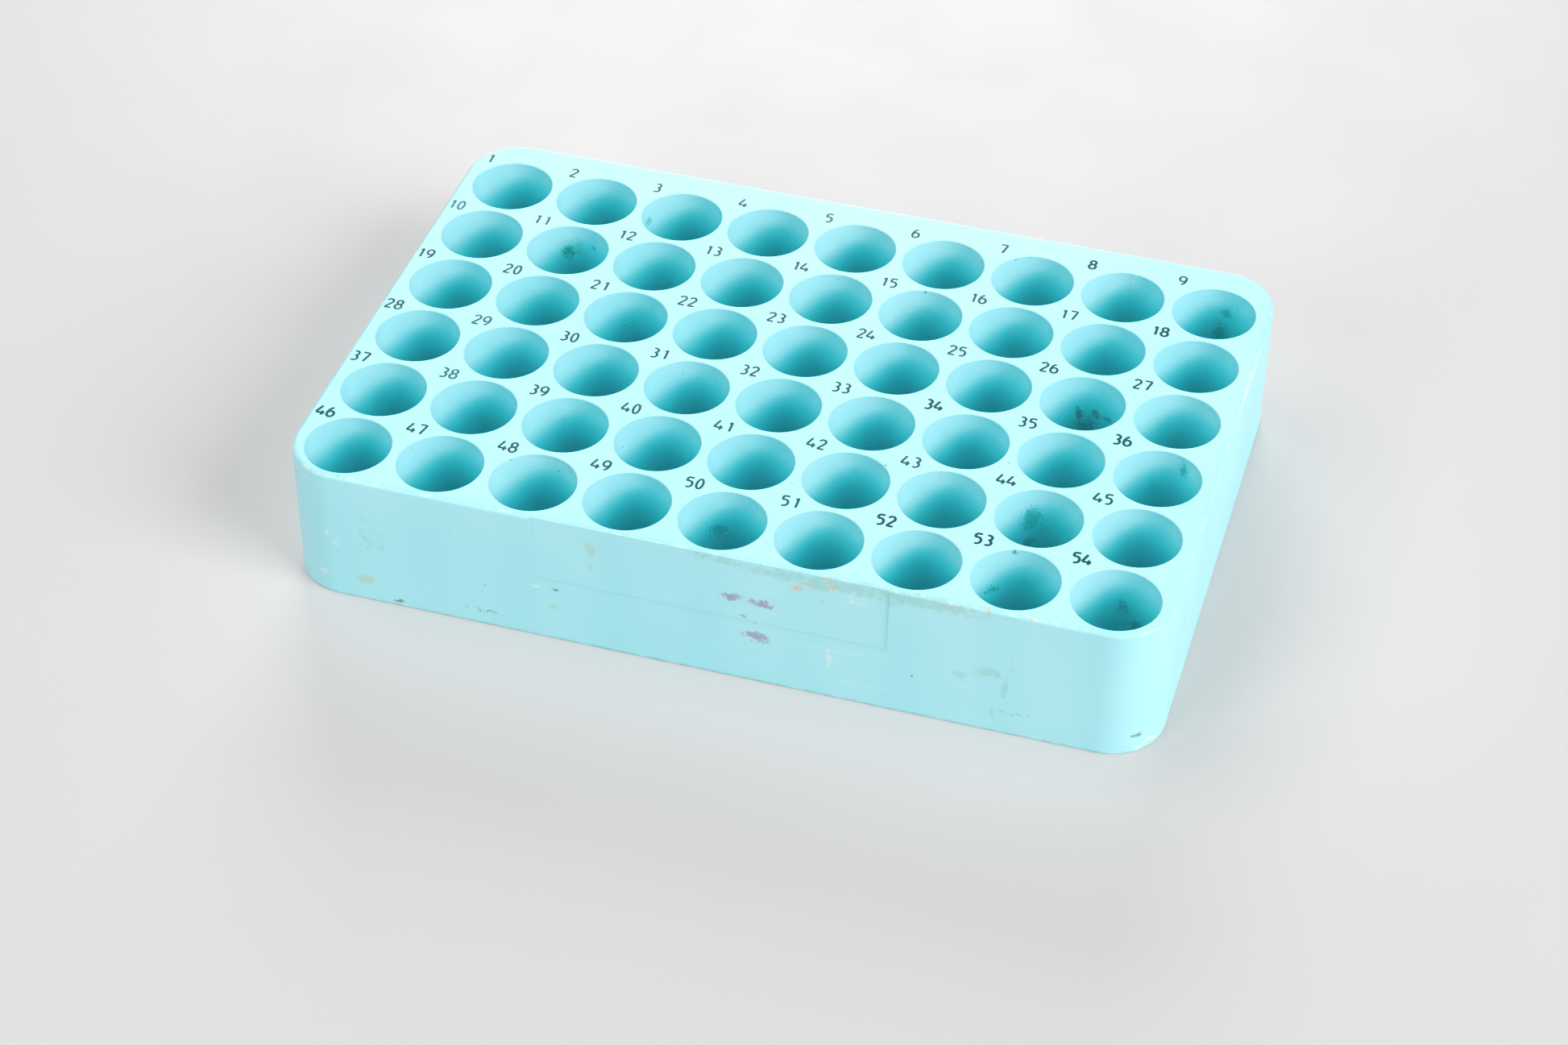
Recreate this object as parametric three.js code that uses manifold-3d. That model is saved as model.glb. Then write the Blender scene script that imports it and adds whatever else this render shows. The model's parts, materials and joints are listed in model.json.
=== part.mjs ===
// A 54-place rack for small sample tubes, on the standard microplate footprint.
// Millimetres, +Z up, origin at the centre of the footprint on the surface the rack stands on.
// +X runs along the nine columns; -Y is the front, with the label recess.
//
// The rack block is bored right through. A base plate let into its underside closes the
// sockets, and countersunk screws hold the plate to the solid posts between the sockets.

import * as THREE from "three";
import { mergeVertices } from "three/addons/utils/BufferGeometryUtils.js";
import Module from "manifold-3d";

// Block
const LENGTH = 127.76;
const WIDTH = 85.48;
const HEIGHT = 22;
const CORNER_RADIUS = 8.1;
const TOP_EDGE_RADIUS = 0.7;

// Sockets
const COLUMNS = 9;
const ROWS = 6;
const COLUMN_PITCH = 13.89;
const ROW_PITCH = 13.41;
const SOCKET_RADIUS = 6.2;
const FRONT_WALL = 1; // material left in front of the front row

// Label recess in the front wall, open at the top
const LABEL_LENGTH = 52;
const LABEL_DROP = 11.2;
const LABEL_DEPTH = 0.2;

// Base plate, flush with the bottom of the block
const PLATE_THICKNESS = 2;
const PLATE_CLEARANCE = 0.12;

// Countersunk screws that hold the plate
const SCREW_LENGTH = 9.5;
const SHANK_RADIUS = 1.3;
const HEAD_RADIUS = 2.6;
const HEAD_RECESS = 0.2; // how far a head lies above the bottom of the plate
const HEAD_LAND = 0.2; // the cylinder under the cone of a head
const PILOT_RADIUS = 1.5;
const SEAT_GAP = 0.04;
const CROSS_LENGTH = 2.8;
const CROSS_WIDTH = 0.6;
const CROSS_DEPTH = 0.9;

// Facets
const CORNER_SEGMENTS = 8;
const EDGE_SEGMENTS = 3;
const SOCKET_SEGMENTS = 24;
const SCREW_SEGMENTS = 20;
const PAST = 1; // how far a cutter runs past the face it opens

const socketFloor = PLATE_THICKNESS;
const gridCentreY = -WIDTH / 2 + FRONT_WALL + SOCKET_RADIUS + ((ROWS - 1) / 2) * ROW_PITCH;

// Solid posts stand between every four sockets. They are counted from the middle of the grid:
// post columns -4 to 3, left to right, and post rows -2 to 2, front to back.
const postX = (column) => (column + 0.5) * COLUMN_PITCH;
const postY = (row) => gridCentreY + row * ROW_PITCH;
const SCREW_POSTS = [
  [-4, -2],
  [3, -2],
  [-2, 0],
  [1, 0],
  [-4, 2],
  [3, 2],
];

const wasm = await Module();
wasm.setup();

// A closed three.js geometry as a manifold-3d solid.
function solidOf(geometry) {
  const bare = geometry.clone();
  bare.deleteAttribute("normal");
  bare.deleteAttribute("uv");
  const merged = mergeVertices(bare, 1e-4);
  return new wasm.Manifold(
    new wasm.Mesh({
      numProp: 3,
      vertProperties: merged.getAttribute("position").array,
      triVerts: new Uint32Array(merged.index.array),
    }),
  );
}

// A manifold-3d solid as a three.js geometry.
function geometryOf(solid) {
  const mesh = solid.getMesh();
  const geometry = new THREE.BufferGeometry();
  geometry.setAttribute("position", new THREE.BufferAttribute(mesh.vertProperties, 3));
  geometry.setIndex(new THREE.BufferAttribute(mesh.triVerts, 1));
  geometry.computeVertexNormals();
  return geometry;
}

// The rack's outline in plan, drawn in by inset all round.
function outline(inset) {
  const x = LENGTH / 2 - inset;
  const y = WIDTH / 2 - inset;
  const r = CORNER_RADIUS - inset;
  const shape = new THREE.Shape();
  shape.moveTo(-x + r, -y);
  shape.absarc(x - r, -y + r, r, -Math.PI / 2, 0);
  shape.absarc(x - r, y - r, r, 0, Math.PI / 2);
  shape.absarc(-x + r, y - r, r, Math.PI / 2, Math.PI);
  shape.absarc(-x + r, -y + r, r, Math.PI, 1.5 * Math.PI);
  shape.closePath();
  return shape;
}

// A plain slab of the outline between two heights.
function slab(inset, bottom, top) {
  const geometry = new THREE.ExtrudeGeometry(outline(inset), {
    depth: top - bottom,
    bevelEnabled: false,
    curveSegments: CORNER_SEGMENTS,
  });
  return geometry.translate(0, 0, bottom);
}

// A solid turned about Z from a profile of [radius, height] points, lowest first.
function turned(profile, segments) {
  const points = profile.map(([radius, height]) => new THREE.Vector2(radius, height));
  return new THREE.LatheGeometry(points, segments).rotateX(Math.PI / 2);
}

function socketCutters() {
  const profile = [
    [0, socketFloor],
    [SOCKET_RADIUS, socketFloor],
    [SOCKET_RADIUS, HEIGHT + PAST],
    [0, HEIGHT + PAST],
  ];
  const cutters = [];
  for (let row = 0; row < ROWS; row++) {
    for (let column = 0; column < COLUMNS; column++) {
      const x = (column - (COLUMNS - 1) / 2) * COLUMN_PITCH;
      const y = gridCentreY + (row - (ROWS - 1) / 2) * ROW_PITCH;
      cutters.push(turned(profile, SOCKET_SEGMENTS).translate(x, y, 0));
    }
  }
  return cutters;
}

// The bored block, with its rounded top edge, label recess, plate rebate and pilot holes.
function rackBlock() {
  const bevelled = new THREE.ExtrudeGeometry(outline(TOP_EDGE_RADIUS), {
    depth: HEIGHT,
    bevelThickness: TOP_EDGE_RADIUS,
    bevelSize: TOP_EDGE_RADIUS,
    bevelSegments: EDGE_SEGMENTS,
    curveSegments: CORNER_SEGMENTS,
  }).translate(0, 0, -TOP_EDGE_RADIUS);
  const belowFloor = new THREE.BoxGeometry(2 * LENGTH, 2 * WIDTH, HEIGHT)
    .translate(0, 0, -HEIGHT / 2);
  const label = new THREE.BoxGeometry(LABEL_LENGTH, 2 * LABEL_DEPTH, LABEL_DROP + PAST)
    .translate(0, -WIDTH / 2, HEIGHT + (PAST - LABEL_DROP) / 2);
  const rebate = slab(FRONT_WALL, -PAST, PLATE_THICKNESS);
  const pilot = [
    [0, PLATE_THICKNESS - PAST],
    [PILOT_RADIUS, PLATE_THICKNESS - PAST],
    [PILOT_RADIUS, SCREW_LENGTH + PAST],
    [0, SCREW_LENGTH + PAST],
  ];
  const pilots = SCREW_POSTS.map(([column, row]) =>
    turned(pilot, SCREW_SEGMENTS).translate(postX(column), postY(row), 0),
  );
  return [belowFloor, label, rebate, ...pilots, ...socketCutters()].reduce(
    (block, cutter) => block.subtract(solidOf(cutter)),
    solidOf(bevelled),
  );
}

// Radii and heights of a head's cone, grown outwards by a gap.
function headCone(gap) {
  const start = HEAD_RECESS + HEAD_LAND;
  return [
    [HEAD_RADIUS + gap, start],
    [SHANK_RADIUS + gap, start + HEAD_RADIUS - SHANK_RADIUS],
  ];
}

// The plate under the sockets, countersunk for its screws.
function basePlate() {
  const seat = [
    [0, -PAST],
    [HEAD_RADIUS + SEAT_GAP, -PAST],
    ...headCone(SEAT_GAP),
    [SHANK_RADIUS + SEAT_GAP, PLATE_THICKNESS + PAST],
    [0, PLATE_THICKNESS + PAST],
  ];
  return SCREW_POSTS.reduce(
    (plate, [column, row]) =>
      plate.subtract(
        solidOf(turned(seat, SCREW_SEGMENTS).translate(postX(column), postY(row), 0)),
      ),
    solidOf(slab(FRONT_WALL + PLATE_CLEARANCE, 0, PLATE_THICKNESS)),
  );
}

// A countersunk screw, head down, with a cross recess and a pointed end.
function baseScrew() {
  const body = turned(
    [
      [0, HEAD_RECESS],
      [HEAD_RADIUS, HEAD_RECESS],
      ...headCone(0),
      [SHANK_RADIUS, HEAD_RECESS + SCREW_LENGTH - 2 * SHANK_RADIUS],
      [0, HEAD_RECESS + SCREW_LENGTH],
    ],
    SCREW_SEGMENTS,
  );
  const wing = new THREE.BoxGeometry(CROSS_LENGTH, CROSS_WIDTH, 2 * CROSS_DEPTH)
    .translate(0, 0, HEAD_RECESS);
  return solidOf(body)
    .subtract(solidOf(wing))
    .subtract(solidOf(wing.clone().rotateZ(Math.PI / 2)));
}

const aquaPlastic = new THREE.MeshStandardMaterial({ color: 0x86dfe4, roughness: 0.45, metalness: 0 });
const steel = new THREE.MeshStandardMaterial({ color: 0xb4b6b8, roughness: 0.35, metalness: 1 });

function named(name, geometry, material) {
  const mesh = new THREE.Mesh(geometry, material);
  mesh.name = name;
  return mesh;
}

const rack = new THREE.Group();
rack.add(named("rack_block", geometryOf(rackBlock()), aquaPlastic));
rack.add(named("base_plate", geometryOf(basePlate()), aquaPlastic));
SCREW_POSTS.forEach(([column, row], index) => {
  const screw = named(`base_screw_${index + 1}`, geometryOf(baseScrew()), steel);
  screw.position.set(postX(column), postY(row), 0);
  rack.add(screw);
});

export default rack;
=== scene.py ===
"""The looks of a 54-place rack for small sample tubes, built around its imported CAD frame.

The CAD model gives the rack's box, its base plate and its screws. This script replaces them with
finished meshes: the bored block with its rounded edges and label recess, the plate and screws
under it, and the printed place numbers. It then dresses them in procedural finishes, which also
carry the stains, scuffs and chips.
"""

import json
import logging
import math
from dataclasses import dataclass, field
from enum import Enum
from typing import Callable, Sequence

import bmesh
import bpy
from mathutils import Matrix, Vector

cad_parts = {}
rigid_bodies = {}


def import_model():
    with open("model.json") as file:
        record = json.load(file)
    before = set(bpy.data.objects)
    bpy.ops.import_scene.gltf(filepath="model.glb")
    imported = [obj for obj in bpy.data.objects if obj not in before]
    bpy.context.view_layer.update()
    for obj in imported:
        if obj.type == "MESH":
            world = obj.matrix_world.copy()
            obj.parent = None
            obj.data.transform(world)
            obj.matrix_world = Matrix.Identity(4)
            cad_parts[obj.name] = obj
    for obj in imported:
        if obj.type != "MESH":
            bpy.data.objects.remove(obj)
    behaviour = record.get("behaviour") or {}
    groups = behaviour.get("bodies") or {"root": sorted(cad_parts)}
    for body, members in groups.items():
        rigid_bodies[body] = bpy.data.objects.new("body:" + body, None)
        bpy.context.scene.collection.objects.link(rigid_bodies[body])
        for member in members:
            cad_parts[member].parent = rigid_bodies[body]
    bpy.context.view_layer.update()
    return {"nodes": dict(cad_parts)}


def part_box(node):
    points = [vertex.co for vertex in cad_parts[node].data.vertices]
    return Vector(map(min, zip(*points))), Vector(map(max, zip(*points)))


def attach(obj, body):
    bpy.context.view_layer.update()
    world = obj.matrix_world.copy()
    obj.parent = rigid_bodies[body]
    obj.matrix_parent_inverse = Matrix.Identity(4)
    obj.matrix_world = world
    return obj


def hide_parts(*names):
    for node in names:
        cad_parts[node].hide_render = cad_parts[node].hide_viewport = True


MM = 0.001
NEAR = 0.01 * MM
BODY = "root"
SOCKET_DEPTH = "socket_depth"
INK_THICKNESS = 0.012 * MM
CORNER_RADIUS = 8.1 * MM

Colour = tuple[float, float, float, float]

log = logging.getLogger("sample_rack")


# ---------------------------------------------------------------- modelling


class Bench:
    """Modelling operators, each run on the one object that it is given."""

    @staticmethod
    def take(piece: bpy.types.Object) -> None:
        """Select one object alone and make it active.

        Args:
            piece: The object to work on.
        """
        if bpy.context.object and bpy.context.object.mode != "OBJECT":
            bpy.ops.object.mode_set(mode="OBJECT")
        for other in bpy.context.view_layer.objects:
            other.select_set(False)
        piece.select_set(True)
        bpy.context.view_layer.objects.active = piece

    @staticmethod
    def added(name: str) -> bpy.types.Object:
        """Name the object that an operator has just added, with its place in its mesh.

        Args:
            name: The object's new name.

        Returns:
            The object.
        """
        piece = bpy.context.object
        piece.name = name
        piece.data.name = name
        bpy.ops.object.transform_apply(location=True, rotation=True, scale=True)
        return piece

    @classmethod
    def cuboid(cls, name: str, low: Vector, high: Vector) -> bpy.types.Object:
        """Add a box between two corners.

        Args:
            name: The new object's name.
            low: Its lowest corner.
            high: Its highest corner.

        Returns:
            The box.
        """
        bpy.ops.mesh.primitive_cube_add(size=1, location=(low + high) / 2)
        bpy.context.object.scale = high - low
        return cls.added(name)

    @classmethod
    def pick(
        cls,
        piece: bpy.types.Object,
        kind: str,
        test: Callable[[Sequence[Vector]], bool],
    ) -> int:
        """Enter edit mode and select the elements whose corners pass a test.

        Args:
            piece: The mesh object.
            kind: "VERT", "EDGE" or "FACE".
            test: Takes the places of an element's vertices.

        Returns:
            How many elements were selected.
        """
        cls.take(piece)
        bpy.ops.object.mode_set(mode="EDIT")
        bpy.ops.mesh.select_mode(type=kind)
        bpy.ops.mesh.select_all(action="DESELECT")
        mesh = bmesh.from_edit_mesh(piece.data)
        elements = {"VERT": mesh.verts, "EDGE": mesh.edges, "FACE": mesh.faces}[kind]
        count = 0
        for element in elements:
            corners = [element.co] if kind == "VERT" else [v.co for v in element.verts]
            if test(corners):
                element.select_set(True)
                count += 1
        mesh.select_flush_mode()
        bmesh.update_edit_mesh(piece.data)
        return count

    @classmethod
    def round_edges(
        cls,
        piece: bpy.types.Object,
        test: Callable[[Sequence[Vector]], bool],
        radius: float,
        segments: int,
    ) -> None:
        """Round the edges that pass a test.

        Args:
            piece: The mesh object.
            test: Takes the places of an edge's two vertices.
            radius: The rounding's radius.
            segments: The number of facets across it.
        """
        cls.pick(piece, "EDGE", test)
        bpy.ops.mesh.bevel(offset=radius, segments=segments, affect="EDGES")
        bpy.ops.object.mode_set(mode="OBJECT")

    @classmethod
    def close(cls, piece: bpy.types.Object) -> None:
        """Merge an object's coincident vertices and turn its faces outwards.

        Args:
            piece: The mesh object.
        """
        cls.pick(piece, "VERT", lambda corners: True)
        bpy.ops.mesh.remove_doubles(threshold=0.0005 * MM)
        bpy.ops.mesh.normals_make_consistent(inside=False)
        bpy.ops.object.mode_set(mode="OBJECT")

    @classmethod
    def rounded_slab(
        cls,
        name: str,
        low: Vector,
        high: Vector,
        corner: float,
        segments: int,
    ) -> bpy.types.Object:
        """Add a slab whose upright edges are rounded.

        Args:
            name: The new object's name.
            low: Its lowest corner.
            high: Its highest corner.
            corner: The radius of its upright edges.
            segments: The number of facets round each corner.

        Returns:
            The slab.
        """
        slab = cls.cuboid(name, low, high)
        upright = lambda ends: abs(ends[0].z - ends[1].z) > (high.z - low.z) / 2
        cls.round_edges(slab, upright, corner, segments)
        return slab

    @classmethod
    def copy(cls, piece: bpy.types.Object, name: str, place: Matrix) -> bpy.types.Object:
        """Copy an object with a mesh of its own, moved within that mesh.

        Args:
            piece: The object to copy.
            name: The copy's name.
            place: Where the copy's mesh is moved to.

        Returns:
            The copy.
        """
        twin = piece.copy()
        twin.data = piece.data.copy()
        twin.name = name
        twin.data.name = name
        twin.data.transform(place)
        bpy.context.scene.collection.objects.link(twin)
        return twin

    @classmethod
    def join(cls, pieces: Sequence[bpy.types.Object], name: str) -> bpy.types.Object:
        """Join objects into the first of them.

        Args:
            pieces: The objects to join.
            name: The joined object's name.

        Returns:
            The joined object.
        """
        cls.take(pieces[0])
        for piece in pieces:
            piece.select_set(True)
        bpy.ops.object.join()
        pieces[0].name = name
        pieces[0].data.name = name
        return pieces[0]

    @classmethod
    def apply(cls, piece: bpy.types.Object, kind: str, **settings: object) -> None:
        """Add a modifier to an object and apply it.

        Args:
            piece: The object to change.
            kind: The modifier's type.
            **settings: Its properties.
        """
        cls.take(piece)
        bpy.ops.object.modifier_add(type=kind)
        modifier = piece.modifiers[-1]
        for key, value in settings.items():
            setattr(modifier, key, value)
        bpy.ops.object.modifier_apply(modifier=modifier.name)

    @classmethod
    def cut(cls, piece: bpy.types.Object, cutter: bpy.types.Object, how: str = "DIFFERENCE") -> None:
        """Cut one object out of another, or join the two, and delete the second.

        Args:
            piece: The object that stays.
            cutter: The object that is used up.
            how: The boolean operation.
        """
        cls.apply(piece, "BOOLEAN", operation=how, solver="MANIFOLD", object=cutter)
        bpy.data.objects.remove(cutter)

    @staticmethod
    def coat(piece: bpy.types.Object, material: bpy.types.Material) -> None:
        """Give an object one material and no other."""
        piece.data.materials.clear()
        piece.data.materials.append(material)

    @classmethod
    def smooth(cls, piece: bpy.types.Object, angle: float = math.radians(38)) -> None:
        """Shade an object smooth between its sharp edges and keep its flat faces flat.

        Args:
            piece: The finished mesh object.
            angle: The least angle of a sharp edge.
        """
        cls.take(piece)
        bpy.ops.object.shade_smooth_by_angle(angle=angle)
        cls.apply(piece, "WEIGHTED_NORMAL", keep_sharp=True, weight=100)


# ---------------------------------------------------------------- shading


class Value:
    """A number that varies over a surface: a socket, with arithmetic that adds Math nodes."""

    def __init__(self, nodes: "Nodes", socket: bpy.types.NodeSocket) -> None:
        """Wrap one output socket of a node tree."""
        self.nodes = nodes
        self.socket = socket

    def _math(self, operation: str, first: object, second: object = None) -> "Value":
        """Add a Math node on one or two operands."""
        return self.nodes.value("ShaderNodeMath", {"operation": operation}, [first, second])

    def __add__(self, other: object) -> "Value":
        """self + other."""
        return self._math("ADD", self, other)

    __radd__ = __add__

    def __sub__(self, other: object) -> "Value":
        """self - other."""
        return self._math("SUBTRACT", self, other)

    def __rsub__(self, other: object) -> "Value":
        """other - self."""
        return self._math("SUBTRACT", other, self)

    def __mul__(self, other: object) -> "Value":
        """self * other."""
        return self._math("MULTIPLY", self, other)

    __rmul__ = __mul__

    def above(self, other: object) -> "Value":
        """The larger of the two."""
        return self._math("MAXIMUM", self, other)

    def below(self, other: object) -> "Value":
        """The smaller of the two."""
        return self._math("MINIMUM", self, other)

    def wave(self) -> "Value":
        """The cosine."""
        return self._math("COSINE", self)

    def ramp(self, low: float, high: float) -> "Value":
        """0 at low, 1 at high, and a smooth rise between them; high may be the lower number."""
        settings = {"interpolation_type": "SMOOTHSTEP", "clamp": True}
        return self.nodes.value("ShaderNodeMapRange", settings, [self, low, high, 0.0, 1.0])


class Nodes:
    """The node tree of one material, with one Principled shader."""

    def __init__(self, name: str) -> None:
        """Start a material with a Principled shader and nothing else.

        Args:
            name: The material's name.
        """
        self.material = bpy.data.materials.new(name)
        self.material.use_nodes = True
        self.tree = self.material.node_tree
        self.tree.nodes.clear()
        self.shader = self.tree.nodes.new("ShaderNodeBsdfPrincipled")
        output = self.tree.nodes.new("ShaderNodeOutputMaterial")
        self.tree.links.new(self.shader.outputs["BSDF"], output.inputs["Surface"])
        self.place = self.add("ShaderNodeTexCoord", {}, []).outputs["Object"]

    def feed(self, socket: bpy.types.NodeSocket, given: object) -> None:
        """Set a socket to a constant or link it.

        Args:
            socket: The input socket.
            given: A number, a tuple, a socket, a Value, or None to leave the socket alone.
        """
        if isinstance(given, Value):
            given = given.socket
        if isinstance(given, bpy.types.NodeSocket):
            self.tree.links.new(given, socket)
        elif given is not None:
            socket.default_value = given

    def add(self, kind: str, settings: dict, inputs: object) -> bpy.types.Node:
        """Add any node.

        Args:
            kind: The node's type.
            settings: Its properties, which are set first.
            inputs: What goes to its sockets: a list in order, or a dict by name.

        Returns:
            The node.
        """
        node = self.tree.nodes.new(kind)
        for key, setting in settings.items():
            setattr(node, key, setting)
        pairs = inputs.items() if isinstance(inputs, dict) else enumerate(inputs)
        for key, given in pairs:
            self.feed(node.inputs[key], given)
        return node

    def value(self, kind: str, settings: dict, inputs: object, output: object = 0) -> Value:
        """Add a node and take one of its outputs as a Value."""
        return Value(self, self.add(kind, settings, inputs).outputs[output])

    def noise(self, scale: float, detail: float = 2.0, rough: float = 0.5, at: object = None) -> Value:
        """Cloud noise over the object.

        Args:
            scale: Features per metre.
            detail: Octaves.
            rough: The weight of the finer octaves.
            at: A vector socket to read instead of the object's own coordinates.

        Returns:
            The noise, about 0.5 on average.
        """
        inputs = {"Vector": at or self.place, "Scale": scale, "Detail": detail, "Roughness": rough}
        return self.value("ShaderNodeTexNoise", {}, inputs, "Fac")

    def vector(self, operation: str, *operands: object) -> bpy.types.Node:
        """Vector maths on one to three operands."""
        return self.add("ShaderNodeVectorMath", {"operation": operation}, operands)

    def turned(self, scale: Sequence[float], angle: float = 0.0, axis: int = 2) -> bpy.types.NodeSocket:
        """The object's coordinates, stretched and turned for a pattern.

        Args:
            scale: The stretch along each axis.
            angle: The turn.
            axis: The axis of the turn, 0 to 2.

        Returns:
            The new coordinates.
        """
        turn = [0.0, 0.0, 0.0]
        turn[axis] = angle
        inputs = {"Vector": self.place, "Rotation": turn, "Scale": scale}
        return self.add("ShaderNodeMapping", {}, inputs).outputs["Vector"]

    def parts(self) -> tuple[Value, Value, Value]:
        """The object's coordinates as three Values."""
        split = self.add("ShaderNodeSeparateXYZ", {}, [self.place])
        return tuple(Value(self, split.outputs[i]) for i in range(3))

    def facing(self) -> tuple[Value, Value, Value]:
        """Split the surface's normal.

        Returns:
            Its x, y and z.
        """
        normal = self.add("ShaderNodeNewGeometry", {}, []).outputs["Normal"]
        split = self.add("ShaderNodeSeparateXYZ", {}, [normal])
        return tuple(Value(self, split.outputs[i]) for i in range(3))

    def mix(self, amount: object, first: object, second: object) -> bpy.types.NodeSocket:
        """Mix two colours.

        Args:
            amount: The share of the second.
            first: A colour as four numbers, or a socket.
            second: A colour as four numbers, or a socket.

        Returns:
            The mixed colour.
        """
        node = self.add("ShaderNodeMix", {"data_type": "RGBA"}, {"Factor": amount})
        self.feed(node.inputs[6], first)
        self.feed(node.inputs[7], second)
        return node.outputs[2]

    def bump(self, height: Value, depth: float) -> bpy.types.NodeSocket:
        """Raise the surface by a height.

        Args:
            height: The height, in units of depth.
            depth: The distance of a height of 1.

        Returns:
            The new normal.
        """
        inputs = {"Strength": 1.0, "Distance": depth, "Height": height}
        return self.add("ShaderNodeBump", {}, inputs).outputs["Normal"]


def opaque(red: float, green: float, blue: float) -> Colour:
    """A linear colour with full alpha."""
    return (red, green, blue, 1.0)


class Area(Enum):
    """The areas of the block that carry their own grime."""

    PLAIN = "plain sockets and underside"
    OUTER = "outer walls and rounded edges"
    TOP = "top face"
    STAINED = "stained sockets"


class Grime(Enum):
    """The kinds of dirt and wear on the block, in the order in which they lie on each other."""

    GREEN_FILM = "green film"
    YELLOW_STAIN = "yellow stain"
    PALE_SCUFF = "pale scuff"
    TAN_CHIP = "tan chip"
    BROWN_SPOT = "brown spot"
    MOULD_SPECKS = "mould specks"
    DARK_MOULD = "dark mould"
    PURPLE_SMUDGE = "purple smudge"


@dataclass(frozen=True)
class Blot:
    """A soft-edged spot of grime: its place and half-widths in millimetres, and how dense it is."""

    kind: Grime
    place: tuple[float, float, float]
    reach: tuple[float, float, float]
    weight: float = 1.0


@dataclass(frozen=True)
class GrimeLook:
    """How one kind of grime looks: its colour, the size of its grains and how broken it is."""

    colour: Colour
    grains_per_metre: float
    broken: float
    strength: float


@dataclass(frozen=True)
class AquaPlastic:
    """Satin aqua plastic, handled and stained, with painted shade that deepens its tone down the
    sockets.
    """

    bleached: Colour = opaque(0.385, 0.785, 0.855)
    faded: Colour = opaque(0.42, 0.81, 0.87)
    # deep: painted shade, the darker tone that the socket walls take towards their bottoms
    deep: Colour = opaque(0.28, 0.765, 0.83)
    scratched: Colour = opaque(0.62, 0.90, 0.90)
    dark_speck: Colour = opaque(0.14, 0.22, 0.17)
    pale_speck: Colour = opaque(0.85, 0.92, 0.88)
    # sunk: painted shade of shallow sink marks, laid on the outer walls in upright stripes
    sunk: Colour = opaque(0.30, 0.74, 0.81)
    chafed: Colour = opaque(0.70, 0.93, 0.93)
    # The colour of dirt and painted contact shade along the bottom edge, where the block meets the
    # table.
    dirty: Colour = opaque(0.16, 0.26, 0.24)
    roughness: float = 0.42
    ior: float = 1.49
    peel_depth: float = 0.006 * MM
    band_pitch: float = 13.89 * MM
    dirt_height: float = 0.60 * MM
    ragged: float = 2.4 * MM
    looks: dict[Grime, GrimeLook] = field(
        default_factory=lambda: {
            Grime.GREEN_FILM: GrimeLook(opaque(0.30, 0.52, 0.42), 1300, 0.9, 0.38),
            Grime.YELLOW_STAIN: GrimeLook(opaque(0.46, 0.54, 0.30), 2300, 0.9, 0.45),
            Grime.PALE_SCUFF: GrimeLook(opaque(0.80, 0.88, 0.84), 2600, 1.0, 0.60),
            Grime.TAN_CHIP: GrimeLook(opaque(0.68, 0.54, 0.36), 2900, 1.2, 0.85),
            Grime.BROWN_SPOT: GrimeLook(opaque(0.18, 0.14, 0.07), 1300, 0.5, 0.70),
            Grime.MOULD_SPECKS: GrimeLook(opaque(0.04, 0.20, 0.17), 4200, 1.4, 0.45),
            Grime.DARK_MOULD: GrimeLook(opaque(0.03, 0.12, 0.09), 2400, 0.9, 0.55),
            Grime.PURPLE_SMUDGE: GrimeLook(opaque(0.30, 0.07, 0.28), 2400, 0.8, 0.60),
        }
    )

    def dress(self, name: str, blots: Sequence[Blot] = (), outer: bool = False) -> bpy.types.Material:
        """Build the material.

        Args:
            name: The material's name.
            blots: The grime on the faces that wear it.
            outer: Whether those faces are the outer walls, with their worn top edge, painted shade of
                sink marks, and dirt and painted contact shade at the bottom edge.

        Returns:
            The material.
        """
        nodes = Nodes(name)
        depth = nodes.value("ShaderNodeAttribute", {"attribute_name": SOCKET_DEPTH}, [], "Fac")
        colour = nodes.mix(nodes.noise(30, 3).ramp(0.35, 0.70), self.bleached, self.faded)
        # Painted shade: the colour darkens towards the deep tone down each socket, by its depth.
        colour = nodes.mix(depth.ramp(0.10, 0.90), colour, self.deep)
        scratches = self._scratches(nodes)
        colour = nodes.mix(scratches * 0.30, colour, self.scratched)
        colour = self._speckled(nodes, colour)
        if outer:
            colour = self._walled(nodes, colour)
        rough = self.roughness + (nodes.noise(90, 3) - 0.5) * 0.14 + scratches * 0.10
        place = self._wandering(nodes) if blots else None
        for kind in Grime:
            spots = [blot for blot in blots if blot.kind is kind]
            if spots:
                cover = self._cover(nodes, self.looks[kind], spots, place)
                colour = nodes.mix(cover, colour, self.looks[kind].colour)
                rough = rough + cover * 0.25
        nodes.feed(nodes.shader.inputs["Base Color"], colour)
        nodes.feed(nodes.shader.inputs["Roughness"], rough)
        peel = nodes.noise(900, 2) - scratches * 0.5
        nodes.feed(nodes.shader.inputs["Normal"], nodes.bump(peel, self.peel_depth))
        nodes.shader.inputs["IOR"].default_value = self.ior
        return nodes.material

    @staticmethod
    def _scratches(nodes: Nodes) -> Value:
        """Draw thin straight scratches in three directions, sparse over the piece.

        Args:
            nodes: The material's nodes.

        Returns:
            1 on a scratch and 0 beside it.
        """
        total = None
        for angle, axis in ((0.5, 2), (-0.9, 2), (0.7, 1)):
            along = nodes.turned((1.0, 60.0, 60.0), angle, axis)
            line = nodes.noise(26, 1, 0.4, at=along).ramp(0.70, 0.76)
            line = line * nodes.noise(60, 2).ramp(0.52, 0.68)
            total = line if total is None else total.above(line)
        return total

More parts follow.
